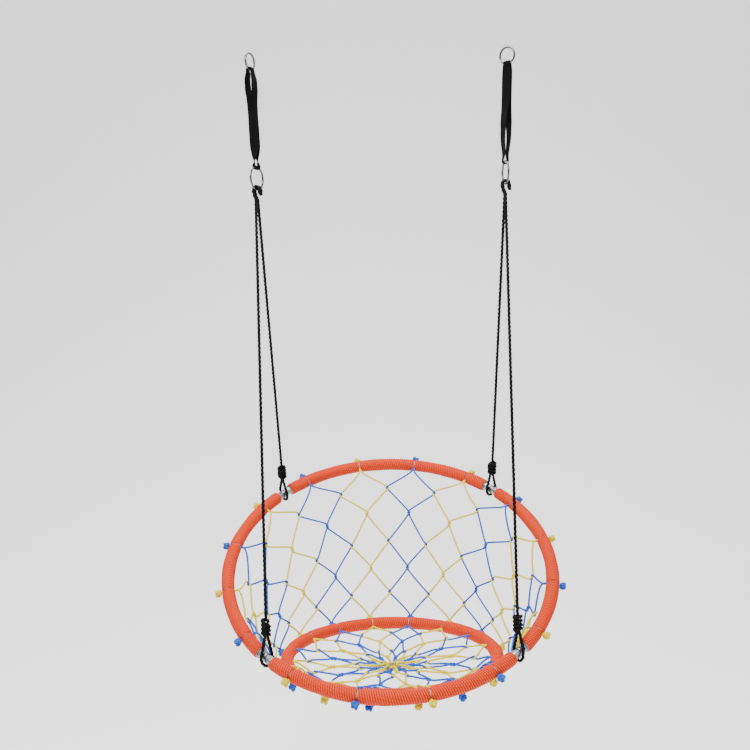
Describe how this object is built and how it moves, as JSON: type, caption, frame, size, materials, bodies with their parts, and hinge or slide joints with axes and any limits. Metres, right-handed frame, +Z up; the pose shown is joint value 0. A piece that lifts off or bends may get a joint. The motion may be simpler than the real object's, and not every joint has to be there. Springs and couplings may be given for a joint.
{
  "type": "net basket swing",
  "caption": "Hanging net basket seat: tilted padded ring on ropes and webbing, smaller padded seat ring below, rope net wall and web.",
  "frame": {"origin": "midway between the two points where hooks bear inside the tops of the hang rings", "axes": "+X to the right as seen from the front, +Y towards the high back of the basket, +Z up"},
  "size_m": [1.019, 0.8882, 1.8143],
  "materials": {
    "bright_steel": "satin",
    "black_webbing": "matte",
    "black_rope": "matte",
    "orange_sleeve": "matte",
    "yellow_cord": "matte",
    "blue_cord": "matte"
  },
  "bodies": {
    "hooks": {"hang_ring_left": "bright_steel", "hang_ring_right": "bright_steel"},
    "straps": {"strap_left": "black_webbing", "strap_right": "black_webbing", "link_ring_left": "bright_steel", "link_ring_right": "bright_steel"},
    "ropes_left": {"hitch_left": "black_rope", "rope_back_left": "black_rope", "rope_front_left": "black_rope", "noose_back_left": "black_rope", "noose_front_left": "black_rope"},
    "ropes_right": {"hitch_right": "black_rope", "rope_back_right": "black_rope", "rope_front_right": "black_rope", "noose_back_right": "black_rope", "noose_front_right": "black_rope"},
    "basket": {"frame_tube_back": "bright_steel", "frame_tube_left": "bright_steel", "frame_tube_front": "bright_steel", "frame_tube_right": "bright_steel", "frame_cover_back": "orange_sleeve", "frame_cover_left": "orange_sleeve", "frame_cover_front": "orange_sleeve", "frame_cover_right": "orange_sleeve", "frame_joiner_back_left": "bright_steel", "frame_joiner_front_left": "bright_steel", "frame_joiner_front_right": "bright_steel", "frame_joiner_back_right": "bright_steel", "frame_screw_back_left": "bright_steel", "frame_screw_front_left": "bright_steel", "frame_screw_front_right": "bright_steel", "frame_screw_back_right": "bright_steel", "wall_cord_01": "yellow_cord", "wall_cord_02": "blue_cord", "wall_cord_03": "yellow_cord", "wall_cord_04": "blue_cord", "wall_cord_05": "yellow_cord", "wall_cord_06": "blue_cord", "wall_cord_07": "yellow_cord", "wall_cord_08": "blue_cord", "wall_cord_09": "yellow_cord", "wall_cord_10": "blue_cord", "wall_cord_11": "yellow_cord", "wall_cord_12": "blue_cord", "wall_cord_13": "yellow_cord", "wall_cord_14": "blue_cord", "wall_cord_15": "yellow_cord", "wall_cord_16": "blue_cord"},
    "seat": {"seat_tube_back": "bright_steel", "seat_tube_front": "bright_steel", "seat_cover_back": "orange_sleeve", "seat_cover_front": "orange_sleeve", "seat_joiner_left": "bright_steel", "seat_joiner_right": "bright_steel", "seat_web_yellow": "yellow_cord", "seat_web_blue": "blue_cord"}
  },
  "joints": [
    {"name": "swing", "type": "hinge", "parent": "hooks", "child": "straps", "pos_m": [0, 0, -0.044], "axis": [1, 0, 0], "range_deg": [-45, 45], "deforming": ["strap_left", "strap_right"]},
    {"name": "sway_left", "type": "hinge", "parent": "straps", "child": "ropes_left", "pos_m": [-0.36, 0, -0.386], "axis": [0, 0.866, 0.5], "range_deg": [-10, 10]},
    {"name": "sway_right", "type": "hinge", "parent": "straps", "child": "ropes_right", "pos_m": [0.36, 0, -0.386], "axis": [0, 0.866, 0.5], "range_deg": [-10, 10]},
    {"name": "level", "type": "hinge", "parent": "ropes_left", "child": "basket", "pos_m": [-0.3394, 0.02, -1.502], "axis": [0, 0.866, 0.5], "range_deg": [-10.7, 10.7]},
    {"name": "fold", "type": "hinge", "parent": "basket", "child": "seat", "pos_m": [0, -0.345, -1.756], "axis": [1, 0, 0], "range_deg": [0, 28], "deforming": ["wall_cord_01", "wall_cord_02", "wall_cord_03", "wall_cord_04", "wall_cord_05", "wall_cord_06", "wall_cord_07", "wall_cord_08", "wall_cord_09", "wall_cord_10", "wall_cord_11", "wall_cord_12", "wall_cord_13", "wall_cord_14", "wall_cord_15", "wall_cord_16"]}
  ],
  "couplings": [
    {"joint": "sway_right", "follows": "sway_left", "ratio": 1},
    {"joint": "level", "follows": "sway_left", "ratio": -1.0607}
  ]
}
